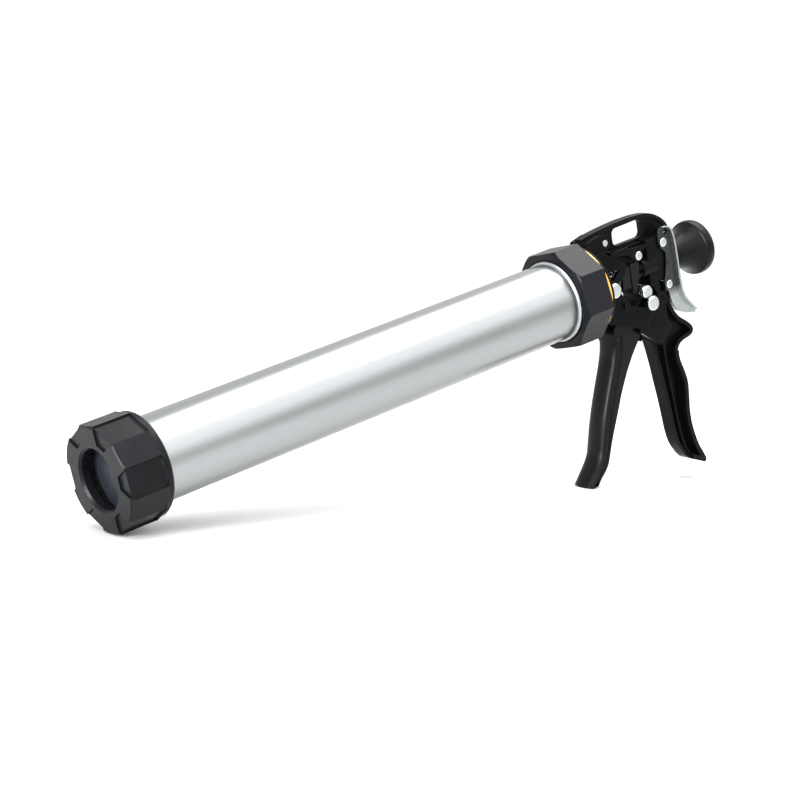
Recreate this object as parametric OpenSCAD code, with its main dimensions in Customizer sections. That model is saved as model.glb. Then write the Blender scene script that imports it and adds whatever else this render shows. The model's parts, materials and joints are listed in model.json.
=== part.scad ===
// Manual sausage caulking gun: swivel barrel, high-leverage trigger, push rod.
// The barrel lies along X. X = 0 is the rim of the nozzle hole, +X runs back to the knob,
// +Z points up from the barrel and the user's grip hangs down.

/* [Barrel] */
// Outside diameter of the barrel tube
tube_od = 54; // [53:0.5:54.5]
// Wall of the barrel tube
tube_wall = 1.5; // [1.2:0.1:1.8]

/* [Front cap] */
// Diameter of the nozzle hole
nozzle_d = 38.1; // [30:0.1:42]
// Diameter of the round rear flange of the cap
cap_flange_d = 66.6; // [66:0.2:70]
// Corner radius of the raised faces of the cap
cap_corner_r = 34.7; // [34:0.1:34.9]
// How far every second face is sunk
cap_recess = 1.5; // [0.8:0.1:1.8]

/* [Collar and ring] */
// Corner radius of the eight-sided collar
collar_corner_r = 36; // [35:0.5:37]
// Outside radius of the amber friction ring
ring_r = 31.6; // [30.8:0.1:31.8]

/* [Rod and piston] */
// Radius of the push rod
rod_r = 4.2; // [4:0.1:4.3]
// Radius of the piston
piston_r = 25.2; // [24:0.1:25.2]
// Radius of the knob's rim
knob_r = 19.8; // [18:0.2:24]

/* [Handle] */
// Half width of the grip's rear flange
grip_half = 8.5; // [7.5:0.5:12]
// Half width of the trigger's finger face
finger_half = 9.3; // [8.5:0.1:9.3]
// Wall of the cast side arms
arm_wall = 3.6; // [3:0.2:4]

/* [Hidden] */
$fn = 72;
tube_end = 394;      // rear end of the tube
tube_r = tube_od / 2;
bore_r = tube_r - tube_wall;
fit = 0.05;          // radial clearance of every running fit
gap = 0.3;           // distance between bodies that only pass each other
nozzle_r = nozzle_d / 2;
cap_flange_r = cap_flange_d / 2;
cap_front = -1.5;    // front face of the cap, ahead of the rim's inner chamfer
cap_back = 30;
notch_depth = 1.3;    // how deep the front is cut back at each sunk face
piston_x = 13;       // front of the piston cup
plate_x = tube_end + 3.8; // front face of the handle's round plate
plate_t = 3;
plate_r = 30.2;
rim_r = 31.8;        // thin rim on the front of the plate, behind the ring
arm_in = 9.6;        // inner face of the side arms
arm_out = arm_in + arm_wall;
head_half = 8.2;     // half width of the trigger's head and web root

trigger_pin_r = 2.2;
drive_head_r = 5.2;

// Pivot centres in the side view: [x, z]
trigger_c = [452.3, -23.5];
drive_c = [450.6, -15.2];
drive_end = [446.7, -17.2];  // where the drive pin is with the trigger fully squeezed
anchor_c = [449.9, 11.3];
front_c = [417.3, -4.4];
lever_c = [473.6, 14.8];
catch_c = [475, -16.4];

// ---- helpers ----

// Turns a shape built up along Z so that it runs along X
module along_x() { rotate([0, 90, 0]) children(); }

// Extrudes a side-view outline to a plate between two distances from the middle
module plate(half) { rotate([90, 0, 0]) linear_extrude(2 * half, center = true) children(); }

module pair(inner, outer) {
    for (s = [-1, 1]) translate([0, s * (inner + outer) / 2, 0])
        rotate([90, 0, 0]) linear_extrude(outer - inner, center = true) children();
}

// Round bar across the handle at a side-view centre
module cross(c, r, half) {
    translate([c[0], 0, c[1]]) rotate([90, 0, 0]) cylinder(r = r, h = 2 * half, center = true);
}

module tube(r_out, r_in, x0, x1) {
    along_x() translate([0, 0, x0]) difference() {
        cylinder(r = r_out, h = x1 - x0);
        translate([0, 0, -1]) cylinder(r = r_in, h = x1 - x0 + 2);
    }
}

// Smooth curve through points (Catmull-Rom), n steps a stretch
function cr(a, b, c, d, t) = 0.5 * (2 * b + (c - a) * t + (2 * a - 5 * b + 4 * c - d) * t * t
    + (3 * b - a - 3 * c + d) * t * t * t);
function curve(p, n = 4) = [for (i = [0 : len(p) - 2], j = [0 : n - 1])
    cr(p[max(i - 1, 0)], p[i], p[i + 1], p[min(i + 2, len(p) - 1)], j / n), p[len(p) - 1]];

// Wire swept along a helix about Z: mean radius r, wire radius w, rise h
module helix(r, w, turns, h, sides = 8, steps = 14) {
    n = ceil(turns * steps);
    pts = [for (i = [0 : n], k = [0 : sides - 1])
        let (a = 360 * turns * i / n, b = 360 * k / sides, q = r + w * cos(b))
        [q * cos(a), q * sin(a), h * i / n + w * sin(b)]];
    quads = [for (i = [0 : n - 1], k = [0 : sides - 1])
        let (k2 = (k + 1) % sides) [i * sides + k, (i + 1) * sides + k, (i + 1) * sides + k2, i * sides + k2]];
    ends = [[for (k = [0 : sides - 1]) k], [for (k = [sides - 1 : -1 : 0]) n * sides + k]];
    polyhedron(points = pts, faces = concat(quads, ends));
}

// ---- barrel ----

module barrel_tube() { color("gainsboro") tube(tube_r, bore_r, 8, tube_end); }

module barrel_ferrule() {
    color("silver") along_x() rotate_extrude()
        polygon([[tube_r, 368.8], [tube_r + 1, 369.2], [tube_r + 1.5, 370], [tube_r + 1.5, 375], [tube_r, 375]]);
}

// Twelve-sided body whose every second face is sunk and notched in front, and a round rear flange
module front_cap() {
    apothem = cap_corner_r * cos(15);
    sunk = apothem - cap_recess;
    color("#1c1d1f") along_x() difference() {
        union() {
            difference() {
                intersection() {
                    translate([0, 0, cap_front]) rotate(265 + 15)
                        cylinder(r = cap_corner_r, h = 27, $fn = 12);
                    rotate_extrude() polygon([[0, cap_front], [32.8, cap_front], [35, 0.6], [35, 26], [0, 26]]);
                }
                for (k = [0 : 5]) rotate(265 + 60 * k) {
                    translate([sunk, -9.6, cap_front - 1]) cube([9, 19.2, 26.1 - cap_front]);
                    translate([0, 0, cap_front - 1]) linear_extrude(1 + notch_depth)
                        polygon([[23.5, -3.8], [sunk, -8.6], [40, -8.6], [40, 8.6], [sunk, 8.6], [23.5, 3.8]]);
                }
            }
            rotate_extrude() polygon([[28, 24.4], [cap_flange_r - 0.8, 24.4], [cap_flange_r, 25.2],
                [cap_flange_r, 28.8], [cap_flange_r - 0.8, cap_back], [28, cap_back]]);
        }
        rotate_extrude() polygon([[0, cap_front - 1], [nozzle_r + 1.5, cap_front - 1], [nozzle_r + 1.5, cap_front],
            [nozzle_r, 0], [nozzle_r, 5], [tube_r + fit, 5], [tube_r + fit, cap_back + 1], [0, cap_back + 1]]);
    }
}

module seat_ring() {
    color("#2a2b2d") along_x() rotate_extrude() polygon([[20.2, 5], [26.8, 5], [26.8, 7.6], [21.4, 7.6], [20.2, 6.6]]);
}

module collar() {
    color("#202123") along_x() difference() {
        intersection() {
            translate([0, 0, 371]) rotate(56 + 180) cylinder(r = collar_corner_r, h = 23.4, $fn = 8);
            rotate_extrude() polygon(concat([[0, 371]], [for (a = [0 : 15 : 90])
                [33 + 3 * sin(a), 371 + 3 - 3 * cos(a)]], [[36, 394.4], [0, 394.4]]));
        }
        rotate_extrude() polygon([[0, 370], [tube_r + 3.2, 370], [tube_r + 1.5, 372], [tube_r + 1.5, 375],
            [tube_r, 375], [tube_r, 395], [0, 395]]);
    }
}

module friction_ring() { color("#f0b62c") tube(ring_r, tube_r + 0.2, tube_end + 0.5, plate_x - gap); }

// ---- handle ----

// Outer edge of the hanging loop, front to back
loop_top = [[402, 35.4], [412, 36.9], [427, 38.2], [442, 38.8], [457, 38.4], [466, 37.4], [473, 35.2],
    [480, 31], [485, 26], [487, 21.6]];
// Back of the column, the web horn and the grip, top to bottom
grip_back = [[475.4, -20], [475.7, -28.5], [477.7, -35.1], [482.7, -42.7], [490.2, -48.7], [494.7, -53.4],
    [495.3, -57.4], [491.5, -60], [485, -61], [479.8, -63.4], [477.4, -68.7], [478.2, -75.2], [481, -83.7],
    [482.9, -92.8], [482.4, -102.4], [481.5, -113.5], [481.9, -123], [483.6, -132.1], [486.4, -141.6],
    [490.1, -149.3], [492, -153.4]];
// Front of the grip, bottom to top
grip_front = [[484.6, -153.9], [477.6, -149.8], [473.2, -144.3], [468.6, -136.2], [466, -126], [464.6, -114],
    [463.2, -102], [461.3, -89.9], [459.4, -76.3], [457.2, -63.6], [454.5, -51.4]];
// Rib down the middle of the grip's side recess
grip_rib = [[466, -50], [466.3, -63], [467, -80], [468.7, -95.5], [470.5, -113], [472.2, -128], [475, -140],
    [482, -151]];

module loop_outline() {
    polygon(concat(curve(loop_top), [[484, 17], [478, 16.2], [457, 15.9], [430, 16.8], [417, 18.6], [408, 21],
        [400, 22], [400, 30], [402, 33]]));
}

module slot_outline() {
    hull() for (p = [[436.4, 30.6], [436.4, 26], [457.4, 31], [457.4, 26]]) translate(p) circle(r = 4, $fn = 32);
}

module grip_outline() {
    polygon(concat(curve(grip_back), [[492.2, -155.4], [490.6, -157]], curve(grip_front), [[460, -30]]));
}

// The side of the rib that faces the fingers, down to below the grip
module finger_side() {
    polygon(concat([[430, -50]], grip_rib, [[486, -175], [430, -175]]));
}

// Side arm: carries the front rivet, then runs down and back to the trigger pivot
module arm_outline() {
    translate(front_c) circle(r = 6.6);
    translate(trigger_c) circle(r = 6);
    polygon([[400, -10], [410.5, -1.5], [423.2, -6.5], [427, -18.2], [446.4, -25], [447, -19.5], [458, -19.5],
        [460, -27], [450.1, -33.8], [444.7, -41.1], [432.3, -35.9], [420.1, -30.7], [410.8, -27.2], [400, -24]]);
}

// Upper flank of the grip, behind and below the arm
module flank_outline() {
    polygon([[438.3, -41], [446, -26], [458, -19.5], [466, -24], [462, -31.9], [471, -45.2], [458, -56.4]]);
}

// Room for the trigger's web as it swings back into the grip
module swing_outline() {
    translate(trigger_c) circle(r = 12.2);
    polygon([[425, -36], [440, -24], [463.5, -24], [464.5, -32], [459.4, -44], [455.4, -50.6], [452.8, -60],
        [430, -60]]);
}

module handle_body() {
    color("#191a1c") {
        // round front plate and the spigot that the barrel turns on
        difference() {
            union() {
                along_x() translate([0, 0, plate_x]) cylinder(r = plate_r, h = plate_t);
                along_x() translate([0, 0, plate_x]) cylinder(r = rim_r, h = 1.4);
                along_x() translate([0, 0, 388]) cylinder(r = bore_r - fit, h = plate_x - 387);
            }
            along_x() translate([0, 0, 380]) cylinder(r = 8, h = 30);
            along_x() translate([0, 0, 380]) cylinder(r = 21, h = plate_x - 380);
        }
        difference() {
            union() {
                plate(2) loop_outline();
                // raised rim all round the loop
                plate(3.3) difference() { loop_outline(); offset(delta = -3) loop_outline(); }
                // webs that close the middle above and below the return spring
                plate(2) polygon([[400, 26], [426, 19], [441, 14.8], [439.6, 9.6], [424, 9.4], [400, 9.4]]);
                plate(2) polygon([[400, -9.2], [428.4, -9.2], [428.4, -19.4], [420, -25.4], [400, -28]]);
                // boss between plate and loop for its screw
                plate(8) polygon([[400, 22], [400, 29], [402, 33], [413, 35.4], [420.5, 34.4], [423.4, 31.5],
                    [423.4, 26.6], [420, 23], [412, 20.4]]);
            }
            plate(20) slot_outline();
            cross(lever_c, 2.2, 20);
        }
        // lugs for the anchor pin
        pair(4.8, 7.4) difference() {
            polygon([[424, 19], [468, 17], [462, 16.4], [455, 14], [453.6, 9.6], [450, 7.6], [446.2, 9], [440, 14.4]]);
            translate(anchor_c) circle(r = 2.2);
        }
        plate(7.4) polygon([[424, 17.2], [440, 14.6], [442, 20], [424, 20]]);
        // straps from the loop's front down to the front rivets
        pair(7.8, 10.6) polygon([[400, 24], [414, 23.4], [434.4, 9.8], [433, 4.2], [423.6, -3.4], [419, 1],
            [427, 6.6], [400, 17]]);
        plate(7.8) polygon([[400, 24], [414, 23.4], [419, 20], [400, 18]]);
        // rear column, split for the lock plate
        difference() {
            union() {
                plate(7.4) difference() {
                    polygon([[459, 20], [474, 20], [478, 18], [480, 13], [480, -11.4], [467.6, -11.4], [467.6, -20],
                        [475.4, -20], [475.7, -28.5], [462, -34], [456, -30], [459, -10]]);
                    translate(lever_c) circle(r = 2.2);
                    translate(catch_c) circle(r = 4.2);
                }
                along_x() translate([0, 0, 454]) cylinder(r = 8.4, h = 14);
            }
            along_x() translate([0, 0, 440]) cylinder(r = 6.5, h = 50);
            translate([462.6, -4.8, -13]) cube([4.6, 9.6, 27]);
            plate(head_half + gap) swing_outline();
        }
        // low bosses on the side arms
        for (s = [-1, 1]) translate([426.6, s * (arm_out - 1), -18]) rotate([-90 * s, 0, 0])
            cylinder(r1 = 3.6, r2 = 2.8, h = 2.6, $fn = 32);
        // side arms and the grip's upper flanks
        difference() {
            union() {
                pair(arm_in, arm_out) arm_outline();
                pair(8.6, 11.6) flank_outline();
            }
            cross(trigger_c, trigger_pin_r, 20);
            plate(20) hull() {
                translate(drive_c) circle(r = drive_head_r + gap, $fn = 48);
                translate(drive_end) circle(r = drive_head_r + gap, $fn = 48);
            }
        }
        // grip: middle web, thin front flange, wider rear flange and a rib between them
        difference() {
            union() {
                plate(2.6) grip_outline();
                plate(4.7) intersection() {
                    difference() { grip_outline(); offset(delta = -2.6) grip_outline(); }
                    finger_side();
                }
                plate(7.4) difference() {
                    grip_outline();
                    offset(delta = -3) grip_outline();
                    finger_side();
                    translate([440, -175]) square([80, 108]);
                }
                plate(grip_half) difference() {
                    grip_outline();
                    offset(delta = -3.6) grip_outline();
                    finger_side();
                    translate([440, -67]) square([80, 60]);
                }
                plate(5.6) polygon(concat([for (p = grip_rib) p - [0.9, 0]],
                    [for (i = [len(grip_rib) - 1 : -1 : 0]) grip_rib[i] + [0.9, 0]]));
                // solid throat between the flanks
                plate(9) polygon([[464.5, -24], [470, -24], [470, -40], [462, -50], [459.4, -44]]);
            }
            plate(head_half + gap) swing_outline();
        }
    }
}

module body_screws() {
    color("silver") for (s = [-1, 1]) {
        translate([418.2, s * 8, 29.2]) rotate([-90 * s, 0, 0]) cylinder(r = 2.2, h = 1.5, $fn = 32);
    }
}

// Rivet head with a crowned face, outward from a side face
module rivet_head(c, r, y, h) {
    for (s = [-1, 1]) translate([c[0], s * y, c[1]]) rotate([-90 * s, 0, 0])
        rotate_extrude($fn = 40) polygon([[0, 0], [r, 0], [r, h * 0.55], [r - 0.5, h * 0.85], [r - 1.4, h], [0, h]]);
}

module front_rivets() {
    color("silver") rivet_head(front_c, 5.4, arm_out, 2.2);
}

module rod_bush_front() {
    color("#33363a") tube(8, rod_r + fit, 392, 409);
}

module rod_bush_rear() {
    color("#33363a") difference() {
        tube(6.5, rod_r + fit, 455, 480);
        translate([462.6, -10, -13]) cube([4.6, 20, 27]);
    }
}

// ---- trigger ----

// Front of the finger face, top to bottom, and how deep its flange is
finger_front = [[415.6, -38], [413.6, -50], [409.6, -61], [403.8, -74], [398.6, -86.5], [394.2, -98.5],
    [391, -109], [388.4, -117.4], [385, -122.8], [380.2, -128.2], [373.4, -135.6]];
finger_depth = 5.2;
groove = 1.5;
// Back of the trigger's web, bottom to top
web_back = [[379.8, -138.8], [384.4, -135.4], [390.2, -131.2], [395.1, -125.8], [398.6, -117.8], [402, -109.8],
    [406.7, -100.2], [411.6, -90.4], [416.8, -79.6], [425.1, -65.6], [433.2, -54.6], [440.7, -46.4], [448, -39]];

// Band along the finger face between two depths behind it
module finger_band(d0, d1) {
    polygon(concat([for (p = curve(finger_front)) p + [d0, -0.14 * d0]],
        [for (p = curve([for (i = [len(finger_front) - 1 : -1 : 0]) finger_front[i]])) p + [d1, -0.14 * d1]]));
}

module trigger_side() {
    union() {
        polygon(concat(curve(finger_front), [[373.6, -137.4]], curve(web_back),
            [[457, -32], [458, -22], [455.4, -13.6], [450, -10.8], [446.4, -15], [446, -20], [436, -25.4],
            [424, -28.6], [417, -32.6]]));
        translate(trigger_c) circle(r = 8);
        translate(drive_c) circle(r = 4.4);
    }
}

module trigger() {
    color("#1b1c1e") difference() {
        union() {
            plate(6.4) trigger_side();
            plate(head_half) difference() {
                trigger_side();
                finger_band(-2, finger_depth + groove);
            }
            plate(finger_half) intersection() {
                trigger_side();
                finger_band(0, finger_depth);
            }
        }
        cross(trigger_c, trigger_pin_r + fit, 20);
        cross(drive_c, 2.5, 20);
    }
}

module trigger_pin() {
    color("silver") {
        cross(trigger_c, trigger_pin_r, arm_out);
        rivet_head(trigger_c, 5.3, arm_out, 2.2);
    }
}

module drive_pin() {
    color("silver") {
        cross(drive_c, 2.5, head_half);
        rivet_head(drive_c, drive_head_r, head_half, 4.2);
    }
}

// ---- drive ----

// Arm that hangs from the anchor pin, pushed at its foot and pushing the gripping plate
module drive_arm() {
    color("#2b2d30") difference() {
        union() {
            plate(4.4) union() {
                translate(anchor_c) circle(r = 4.2);
                polygon([[445.8, 12], [453.6, 12], [450, 4], [442, 4]]);
            }
            plate(7.4) polygon([[440.9, 5.4], [441.6, 7.2], [449, 7.2], [450, 5.4], [448.6, -4], [445.9, -9.5],
                [445.9, -14.4], [441.4, -14.4], [440.9, -2]]);
        }
        cross(anchor_c, 2.2 + fit, 10);
        plate(rod_r + 0.5) translate([430, -rod_r - 3]) square([30, 2 * rod_r + 4.3]);
    }
}

module anchor_pin() {
    color("silver") {
        cross(anchor_c, 2.2, 7.6);
        rivet_head(anchor_c, 3.2, 7.6, 1.4);
    }
}

module gripping_plate() {
    color("#3a3d40") difference() {
        translate([432.4, -7, -9.5]) cube([8, 14, 15.5]);
        along_x() translate([0, 0, 430]) cylinder(r = rod_r + fit, h = 20);
    }
}

module return_spring() {
    color("silver") translate([410, 0, 0]) along_x() helix(6.6, 0.8, 5, 21.4);
}

module lock_plate() {
    color("#9a9da0") difference() {
        translate([463.2, -4.4, -12.6]) cube([3.2, 8.8, 24]);
        along_x() translate([0, 0, 450]) cylinder(r = rod_r + fit, h = 20);
    }
}

// ---- release lever ----

// Back of the lever's side plates, top to bottom, and their front, bottom to top
lever_back = [[474.5, 26.4], [479.6, 25], [482.6, 20.6], [484.1, 11.6], [484.8, -0.3], [485.1, -14.1],
    [486.8, -25.9], [492.4, -34.6], [498.6, -41.4]];
lever_front = [[498.4, -44.2], [489, -41.8], [480.8, -38], [476.4, -31], [474.8, -24.5], [474.4, -21.5],
    [471.4, -19.6], [471.2, -13], [473.6, -8], [475, 0], [475.6, 7], [471, 11.2], [469.6, 16], [470, 21], [471.4, 25]];
lip = 1.5;   // thickness of the lip turned outward along the back

module lever_lip(start) {
    edge = curve([for (i = [start : len(lever_back) - 1]) lever_back[i]]);
    polygon(concat(edge, [for (i = [len(edge) - 1 : -1 : 0]) edge[i] - [lip, 0.4]]));
}

module release_lever() {
    color("silver") union() {
        pair(7.9, 9.2) difference() {
            polygon(concat(curve(lever_back), lever_front));
            translate(lever_c) circle(r = 2.2 + fit);
            translate(catch_c) circle(r = 2);
            translate([477.6, 21.4]) circle(r = 2.2);
            translate([474, -2.6]) rotate(18) square([8, 0.7]);
        }
        pair(7.9, 12) lever_lip(0);
        // blade that joins the two side plates
        plate(12) lever_lip(5);
    }
}

module lever_pin() {
    color("silver") {
        cross(lever_c, 2.2, 9.4);
        rivet_head(lever_c, 3.3, 9.4, 1.4);
    }
}

module catch_pin() {
    color("silver") {
        cross(catch_c, 2, 9.2);
        rivet_head(catch_c, 3, 9.2, 1.3);
    }
}

module lever_spring() {
    color("silver") translate([477.6, -7, 21.4]) rotate([-90, 0, 0]) helix(1.4, 0.45, 2.6, 3, 8, 10);
}

// ---- rod, piston, knob ----

module plunger_rod() {
    color("silver") along_x() translate([0, 0, piston_x - 2]) cylinder(r = rod_r, h = 504 - piston_x);
}

module piston_cup() {
    color("#34363a") along_x() translate([0, 0, piston_x]) rotate_extrude()
        polygon([[rod_r, 0], [22, 0], [piston_r - 0.6, -1.4], [piston_r, 0], [piston_r, 15],
            [piston_r - 2, 15], [piston_r - 2, 3], [rod_r, 3]]);
}

module piston_pad() {
    color("#2c2e32") along_x() translate([0, 0, piston_x]) rotate_extrude()
        polygon(concat([[0, -2], [0, -4.9]], [for (a = [10 : 10 : 80]) [22 * sin(a), -1.2 - 3.7 * cos(a)]],
            [[22, -0.05], [rod_r, -0.05], [rod_r, -2]]));
}

module piston_washer() { color("silver") tube(15, rod_r, piston_x + 3, piston_x + 5); }

module piston_nut() {
    color("silver") along_x() translate([0, 0, piston_x + 5]) difference() {
        cylinder(r = 8, h = 6, $fn = 6);
        translate([0, 0, -1]) cylinder(r = rod_r, h = 8);
    }
}

module knob() {
    color("#1a1b1d") along_x() rotate_extrude() polygon(concat(
        [[rod_r, 488.6], [8.8, 488.6]],
        curve([[9.8, 489.6], [11.4, 495], [13.4, 500.4], [15.6, 504.4], [18.2, 507.6]]),
        [for (a = [-70 : 20 : 70]) [knob_r - 1 + cos(a), 511.6 + 3.6 * sin(a)]],
        [[17.6, 515], [12, 514], [6, 513.4], [6, 502], [rod_r, 502]]));
}

module knob_screw() {
    color("silver") along_x() rotate_extrude($fn = 40)
        polygon([[0, 502], [5.6, 502], [5.6, 511], [4.8, 512.2], [0, 512.8]]);
}

front_cap();
seat_ring();
barrel_tube();
barrel_ferrule();
collar();
friction_ring();
handle_body();
body_screws();
front_rivets();
rod_bush_front();
rod_bush_rear();
trigger();
trigger_pin();
drive_pin();
drive_arm();
anchor_pin();
gripping_plate();
return_spring();
lock_plate();
release_lever();
lever_pin();
catch_pin();
lever_spring();
plunger_rod();
piston_cup();
piston_pad();
piston_washer();
piston_nut();
knob();
knob_screw();
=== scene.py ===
import json
import math

import bmesh
import bpy
from mathutils import Matrix, Vector


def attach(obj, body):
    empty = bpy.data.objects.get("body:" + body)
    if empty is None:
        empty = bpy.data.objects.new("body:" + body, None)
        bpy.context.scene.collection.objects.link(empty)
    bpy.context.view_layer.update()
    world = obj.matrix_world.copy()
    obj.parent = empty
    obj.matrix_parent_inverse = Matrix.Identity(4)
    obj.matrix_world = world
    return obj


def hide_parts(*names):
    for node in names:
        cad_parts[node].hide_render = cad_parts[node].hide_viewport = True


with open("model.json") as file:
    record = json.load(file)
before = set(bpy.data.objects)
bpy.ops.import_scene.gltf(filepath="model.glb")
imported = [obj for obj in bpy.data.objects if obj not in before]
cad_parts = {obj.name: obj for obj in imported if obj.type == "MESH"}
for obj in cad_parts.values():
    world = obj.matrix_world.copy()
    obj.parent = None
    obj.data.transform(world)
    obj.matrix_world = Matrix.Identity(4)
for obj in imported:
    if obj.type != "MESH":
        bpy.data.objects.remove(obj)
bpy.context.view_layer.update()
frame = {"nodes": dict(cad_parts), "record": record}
MM = 0.001


def lowest(up, nodes):
    """How low these CAD nodes reach, measured along a direction that points up."""
    return min(up.dot(v.co) for node in nodes for v in frame["nodes"][node].data.vertices)


def resting_tilt():
    """Slope of the barrel when the gun stands on the cap and on the handle's lowest point."""
    low, high = math.radians(8), math.radians(24)
    for _ in range(40):
        tilt = (low + high) / 2
        up = Vector((math.sin(tilt), 0, math.cos(tilt)))
        if lowest(up, ["front_cap"]) < lowest(up, ["trigger", "handle_body"]):
            high = tilt
        else:
            low = tilt
    return tilt


TILT = resting_tilt()
UP = Vector((math.sin(TILT), 0, math.cos(TILT)))


# ---- materials ----

class Surface:
    """A Principled material with short ways to add procedural detail in real millimetres."""

    def __init__(self, name, colour, metallic=0.0, roughness=0.5, **sockets):
        self.material = bpy.data.materials.new(name)
        self.material.use_nodes = True
        self.tree = self.material.node_tree
        self.shader = next(n for n in self.tree.nodes if n.type == "BSDF_PRINCIPLED")
        self.shader.inputs["Base Color"].default_value = (*colour, 1)
        self.shader.inputs["Metallic"].default_value = metallic
        self.shader.inputs["Roughness"].default_value = roughness
        for socket, value in sockets.items():
            self.shader.inputs[socket.replace("_", " ")].default_value = value
        self.place = self.add("ShaderNodeTexCoord").outputs["Object"]
        self.normal = None

    def add(self, kind, **inputs):
        node = self.tree.nodes.new(kind)
        for socket, value in inputs.items():
            self.feed(node.inputs[socket.replace("_", " ")], value)
        return node

    def feed(self, socket, value):
        if isinstance(value, bpy.types.NodeSocket):
            self.tree.links.new(value, socket)
        else:
            socket.default_value = value

    def noise(self, size_mm, stretch=(1, 1, 1), detail=3.0):
        """Noise whose features are about size_mm across, stretched by the given factors."""
        mapping = self.add("ShaderNodeMapping", Vector=self.place)
        mapping.inputs["Scale"].default_value = [1 / (size_mm * MM * s) for s in stretch]
        return self.add("ShaderNodeTexNoise", Vector=mapping.outputs["Vector"], Scale=1.0, Detail=detail,
                        Roughness=0.55).outputs["Fac"]

    def remap(self, value, low, high, from_low=0.35, from_high=0.65):
        node = self.add("ShaderNodeMapRange", Value=value)
        node.inputs["From Min"].default_value = from_low
        node.inputs["From Max"].default_value = from_high
        node.inputs["To Min"].default_value = low
        node.inputs["To Max"].default_value = high
        return node.outputs["Result"]

    def mix(self, factor, a, b):
        node = self.add("ShaderNodeMix")
        node.data_type = "RGBA"
        self.feed(node.inputs["Factor"], factor)
        for socket, value in (("A", a), ("B", b)):
            target = next(i for i in node.inputs if i.name == socket and i.type == "RGBA")
            self.feed(target, value if isinstance(value, bpy.types.NodeSocket) else (*value, 1))
        return next(o for o in node.outputs if o.type == "RGBA")

    def edges(self, low=0.53, high=0.62):
        """Near 1 on worn outer edges, 0 elsewhere."""
        geometry = self.add("ShaderNodeNewGeometry")
        return self.remap(geometry.outputs["Pointiness"], 0.0, 1.0, low, high)

    def soft_edges(self, radius_mm):
        """Rounds every edge a little in the shading."""
        node = self.add("ShaderNodeBevel", Radius=radius_mm * MM)
        node.samples = 6
        self.normal = node.outputs["Normal"]
        self.feed(self.shader.inputs["Normal"], self.normal)

    def bump(self, height, distance_mm, strength):
        node = self.add("ShaderNodeBump", Height=height, Strength=strength)
        node.inputs["Distance"].default_value = distance_mm * MM
        if self.normal is not None:
            self.feed(node.inputs["Normal"], self.normal)
        self.normal = node.outputs["Normal"]
        self.feed(self.shader.inputs["Normal"], self.normal)

    def set(self, socket, value):
        self.feed(self.shader.inputs[socket], value)


def shade(colour, factor):
    return tuple(min(1.0, c * factor) for c in colour)


def dark_plastic(name, colour, roughness, level):
    """Moulded nylon or rubber: fine grain, faint flow mottling, edges rubbed a little paler."""
    s = Surface(name, colour, roughness=roughness, IOR=1.5, Specular_IOR_Level=level)
    s.soft_edges(0.5)
    base = s.mix(s.remap(s.noise(9, detail=4), 0, 1), shade(colour, 0.85), shade(colour, 1.2))
    s.set("Base Color", s.mix(s.edges(), base, shade(colour, 2.2)))
    s.set("Roughness", s.remap(s.noise(7, detail=5), roughness - 0.03, roughness + 0.05))
    s.bump(s.noise(0.3, detail=2), 0.006, 0.4)
    return s.material


def powder_coat(name, colour, roughness, level):
    """Satin black powder coat over a casting: faint orange peel, uneven gloss, rubbed edges."""
    s = Surface(name, colour, roughness=roughness, IOR=1.5, Specular_IOR_Level=level)
    s.soft_edges(0.7)
    base = s.mix(s.remap(s.noise(14, detail=5), 0, 1), shade(colour, 0.85), shade(colour, 1.2))
    s.set("Base Color", s.mix(s.edges(0.54, 0.68), base, shade(colour, 2.5)))
    s.set("Roughness", s.remap(s.noise(12, detail=5), roughness - 0.03, roughness + 0.06))
    s.bump(s.noise(1.1, detail=2), 0.004, 0.3)
    return s.material


def anodised(name, colour):
    """Satin anodised tube: drawn grain along its length, and a fine bead-blasted tooth."""
    s = Surface(name, colour, metallic=1.0, roughness=0.3)
    drawn = s.noise(0.4, stretch=(200, 1, 1), detail=3)
    s.set("Base Color", s.mix(s.remap(drawn, 0, 1), shade(colour, 0.985), shade(colour, 1.015)))
    s.set("Roughness", s.remap(s.noise(60, detail=3), 0.28, 0.31))
    s.bump(drawn, 0.002, 0.2)
    s.bump(s.noise(0.35, detail=2), 0.002, 0.2)
    return s.material


def bright_metal(name, colour, roughness, scratch=(1, 1, 1), plate_painted_shade=None):
    """Plated or turned steel: fine scratches and small roughness changes, a little uneven in tone, and, if
    asked, painted shade that darkens the release lever's side plates.
    """
    s = Surface(name, colour, metallic=1.0, roughness=roughness)
    s.soft_edges(0.3)
    lines = s.noise(0.5, stretch=scratch, detail=4)
    tone = s.mix(s.remap(s.noise(5, detail=4), 0, 1), shade(colour, 0.9), shade(colour, 1.04))
    # Painted shade: the flat side plates are darkened to the shade they show, while the lips and blade keep
    # the lighter zinc tone.
    if plate_painted_shade:
        tone = s.mix(painted_shade_plate_mask(s), tone, shade(colour, plate_painted_shade))
    s.set("Base Color", tone)
    s.set("Roughness", s.remap(lines, roughness - 0.03, roughness + 0.06))
    s.bump(lines, 0.004, 0.35)
    return s.material


def painted_shade_plate_mask(s):
    """Mask for painted shade: 1 on the release lever's side plates, 0 on its turned-out lips and its thumb
    blade.
    """
    plate_face, lip_start = 9.3 * MM, 9.6 * MM
    blade_top, plate_foot = -26 * MM, -19 * MM
    split = s.add("ShaderNodeSeparateXYZ", Vector=s.place)
    across = s.add("ShaderNodeMath", Value=split.outputs["Y"])
    across.operation = "ABSOLUTE"
    plate = s.remap(across.outputs[0], 1, 0, plate_face, lip_start)
    above = s.remap(split.outputs["Z"], 0, 1, blade_top, plate_foot)
    both = s.add("ShaderNodeMath")
    both.operation = "MULTIPLY"
    s.feed(both.inputs[0], plate)
    s.feed(both.inputs[1], above)
    return both.outputs[0]


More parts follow.
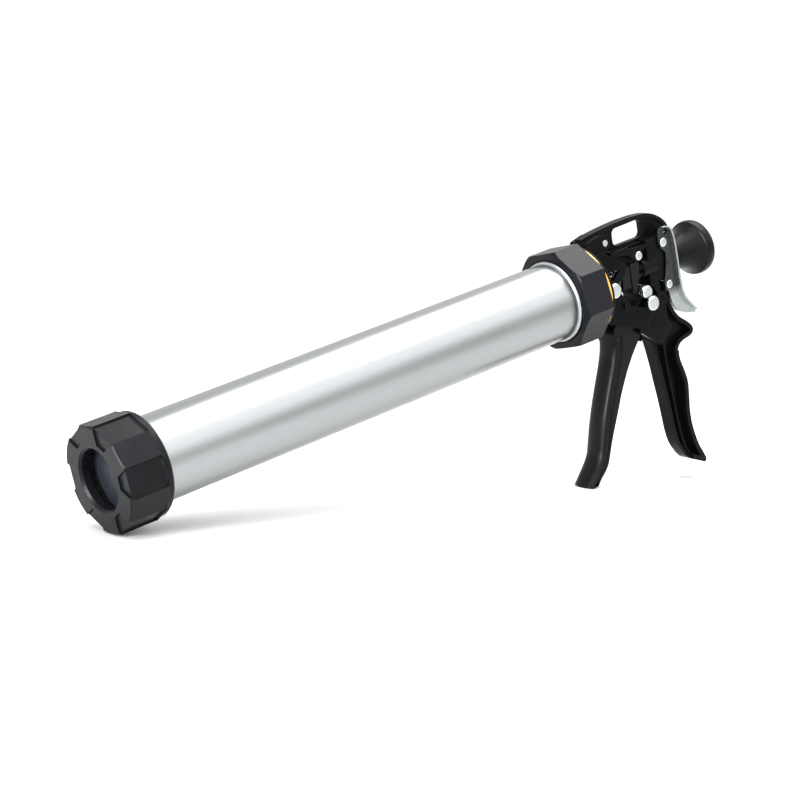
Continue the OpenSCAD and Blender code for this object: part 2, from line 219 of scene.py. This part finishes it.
def amber_plastic(name, colour):
    """Moulded amber plastic: a little uneven in colour and gloss."""
    s = Surface(name, colour, roughness=0.32, IOR=1.5)
    s.set("Base Color", s.mix(s.remap(s.noise(5, detail=4), 0, 1), shade(colour, 0.9), shade(colour, 1.06)))
    s.set("Roughness", s.remap(s.noise(3, detail=4), 0.3, 0.38))
    s.bump(s.noise(0.5, detail=2), 0.01, 0.3)
    return s.material


MATERIALS = {
    "cap_black": dark_plastic("cap_nylon", (0.003, 0.0034, 0.0042), 0.30, 0.13),
    "collar_black": dark_plastic("collar_nylon", (0.003, 0.0034, 0.0042), 0.30, 0.13),
    "knob_black": dark_plastic("knob_nylon", (0.0025, 0.0025, 0.003), 0.32, 0.12),
    "seal_rubber": dark_plastic("seal_rubber", (0.003, 0.003, 0.003), 0.6, 0.1),
    "piston_dark": dark_plastic("piston_nylon", (0.012, 0.015, 0.019), 0.42, 0.2),
    "casting_black": powder_coat("handle_coat", (0.0016, 0.0018, 0.0022), 0.28, 0.06),
    "trigger_black": powder_coat("trigger_coat", (0.0018, 0.002, 0.0026), 0.32, 0.13),
    "drive_dark": powder_coat("drive_blacking", (0.004, 0.004, 0.005), 0.36, 0.12),
    "barrel_alu": anodised("barrel_anodised", (0.32, 0.33, 0.335)),
    "ferrule_metal": bright_metal("ferrule_satin", (0.46, 0.48, 0.49), 0.3),
    "ring_amber": amber_plastic("ring_amber", (0.72, 0.39, 0.06)),
    "rivet_steel": bright_metal("rivet_bright", (0.56, 0.58, 0.59), 0.2),
    "bush_grey": bright_metal("bush_dark", (0.05, 0.052, 0.055), 0.35),
    "spring_steel": bright_metal("spring_wire", (0.16, 0.165, 0.17), 0.25),
    "lock_steel": bright_metal("lock_ground", (0.06, 0.06, 0.065), 0.3),
    # Painted shade darkens this lever's side plates; its lips and blade keep the lighter zinc.
    "lever_zinc": bright_metal("lever_zinc", (0.40, 0.43, 0.43), 0.26, plate_painted_shade=0.13),
    "rod_steel": bright_metal("rod_ground", (0.20, 0.205, 0.21), 0.24, scratch=(30, 1, 1)),
}


# ---- pieces built from the CAD shapes ----

def clean_copy(node):
    """A bmesh of a CAD node with its seams welded and its flat areas joined up."""
    mesh = bmesh.new()
    mesh.from_mesh(frame["nodes"][node].data)
    bmesh.ops.remove_doubles(mesh, verts=mesh.verts, dist=2e-6)
    bmesh.ops.dissolve_limit(mesh, angle_limit=math.radians(0.6), verts=mesh.verts, edges=mesh.edges)
    bmesh.ops.recalc_face_normals(mesh, faces=mesh.faces)
    return mesh


def finish_piece(mesh, name, node):
    """Turns a bmesh into a piece that stands in for a CAD node and moves with its body."""
    data = bpy.data.meshes.new(name)
    mesh.to_mesh(data)
    mesh.free()
    data.shade_smooth()
    data.set_sharp_from_angle(angle=math.radians(33))
    data.materials.append(MATERIALS[SLOT_OF[node]])
    piece = bpy.data.objects.new(name, data)
    bpy.context.scene.collection.objects.link(piece)
    weights = piece.modifiers.new("flat_faces_stay_flat", "WEIGHTED_NORMAL")
    weights.keep_sharp = True
    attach(piece, BODY_OF[node])
    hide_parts(node)


def eased(node, width_mm, angle=30, first=None):
    """The CAD node again with its sharp edges eased, after a first change to its shape if there is one."""
    mesh = clean_copy(node)
    if first:
        first(mesh)
    sharp = [e for e in mesh.edges if e.is_manifold and e.calc_face_angle(0) > math.radians(angle)]
    bmesh.ops.bevel(mesh, geom=sharp, offset=width_mm * MM, offset_type="OFFSET", segments=2,
                    profile=0.5, affect="EDGES", clamp_overlap=False)
    finish_piece(mesh, node + "_shell", node)


BODY_OF = {node: body for body, nodes in frame["record"]["behaviour"]["bodies"].items() for node in nodes}
SLOT_OF = {s["node"]: s["material_slot"] for s in frame["record"]["subparts"]}

for node, obj in frame["nodes"].items():
    obj.data.materials.clear()
    obj.data.materials.append(MATERIALS[SLOT_OF[node]])


def crown_finger_face(mesh):
    """Domes the trigger's flat finger face across its width, deepest back at its two sides."""
    depth, fullness, strips, face_height = 4.6 * MM, 0.94, 9, 100 * MM
    half = max(v.co.y for v in mesh.verts)
    top = min(v.co.z for v in mesh.verts) + face_height

    def front_faces():
        return [f for f in mesh.faces if f.normal.x < -0.6 and abs(f.normal.y) < 0.3]

    for k in range(1 - strips, strips):
        cut = front_faces()
        around = list({e for f in cut for e in f.edges}) + list({v for f in cut for v in f.verts}) + cut
        bmesh.ops.bisect_plane(mesh, geom=around, dist=1e-6, plane_co=(0, half * k / strips, 0),
                               plane_no=(0, 1, 0))
    mesh.normal_update()
    outward = {v: f.normal.copy() for f in front_faces() for v in f.verts}
    for v, normal in outward.items():
        if v.co.z < top:
            across = fullness * (v.co.y / half) ** 2
            v.co -= normal * depth * (1 - math.sqrt(1 - across))


eased("trigger", 0.4, angle=50, first=crown_finger_face)
eased("release_lever", 0.25)
eased("drive_arm", 0.4)
eased("gripping_plate", 0.4)


# ---- floor, light and camera ----

def make_floor():
    s = Surface("studio_floor", (0.60, 0.60, 0.60), roughness=0.8, Specular_IOR_Level=0.2)
    speckle = s.remap(s.noise(60, detail=3), 0, 1)
    s.set("Base Color", s.mix(speckle, (0.595, 0.595, 0.595), (0.605, 0.605, 0.605)))
    s.bump(s.noise(0.8, detail=2), 0.01, 0.15)
    mesh = bmesh.new()
    bmesh.ops.create_grid(mesh, x_segments=8, y_segments=8, size=6)
    data = bpy.data.meshes.new("studio_floor")
    mesh.to_mesh(data)
    mesh.free()
    data.materials.append(s.material)
    floor = bpy.data.objects.new("studio_floor", data)
    bpy.context.scene.collection.objects.link(floor)
    floor.rotation_euler = (0, TILT, 0)
    floor.location = UP * lowest(UP, frame["nodes"])


def area_light(name, position, target, size, size_y, power):
    data = bpy.data.lights.new(name, "AREA")
    data.shape = "RECTANGLE"
    data.size, data.size_y = size, size_y
    data.energy = power
    light = bpy.data.objects.new(name, data)
    light.location = position
    light.rotation_euler = (Vector(target) - Vector(position)).to_track_quat("-Z", "Y").to_euler()
    bpy.context.scene.collection.objects.link(light)


def make_world():
    """White studio all round, brighter high up on the camera's side."""
    world = bpy.data.worlds.new("studio")
    world.use_nodes = True
    tree = world.node_tree
    split = tree.nodes.new("ShaderNodeSeparateXYZ")
    tree.links.new(tree.nodes.new("ShaderNodeTexCoord").outputs["Generated"], split.inputs[0])

    def ramp(value, from_min, from_max, to_min, to_max):
        node = tree.nodes.new("ShaderNodeMapRange")
        node.interpolation_type = "SMOOTHSTEP"
        tree.links.new(value, node.inputs["Value"])
        levels = {"From Min": from_min, "From Max": from_max, "To Min": to_min, "To Max": to_max}
        for socket, level in levels.items():
            if isinstance(level, bpy.types.NodeSocket):
                tree.links.new(level, node.inputs[socket])
            else:
                node.inputs[socket].default_value = level
        return node.outputs["Result"]

    front_wall = ramp(split.outputs["Z"], 0.0, 0.38, 1.02, 2.6)
    light = ramp(split.outputs["Y"], -0.25, 0.35, front_wall, 1.03)
    tree.links.new(light, tree.nodes["Background"].inputs["Strength"])
    tree.nodes["Background"].inputs["Color"].default_value = (1, 1, 1, 1)
    bpy.context.scene.world = world


def make_lights():
    area_light("overhead_softbox", (0.05, -0.25, 1.5), (0.25, 0, 0), 1.5, 0.9, 12)
    area_light("rear_softbox", (0.98, 0.05, 0.94), (0.2, 0, 0), 1.0, 0.7, 14)
    area_light("left_softbox", (-0.825, -0.30, 0.39), (0.4, 0, -0.08), 0.5, 0.6, 26)


def make_camera():
    azimuth, elevation, roll = math.radians(-37.54), math.radians(17.27), math.radians(9.32)
    aim = Vector((0.2275, 0, -0.0245))
    distance = 1.4097
    back = Vector((math.sin(azimuth) * math.cos(elevation), -math.cos(azimuth) * math.cos(elevation),
                   math.sin(elevation)))
    data = bpy.data.cameras.new("photo_camera")
    data.sensor_width = 36
    data.lens = 97.86
    camera = bpy.data.objects.new("photo_camera", data)
    camera.location = aim + back * distance
    turn = Matrix.Rotation(-roll, 4, back)
    camera.rotation_euler = (turn @ (-back).to_track_quat("-Z", "Y").to_matrix().to_4x4()).to_euler()
    bpy.context.scene.collection.objects.link(camera)
    bpy.context.scene.camera = camera


bpy.context.scene.view_settings.view_transform = "Standard"
make_floor()
make_world()
make_lights()
make_camera()
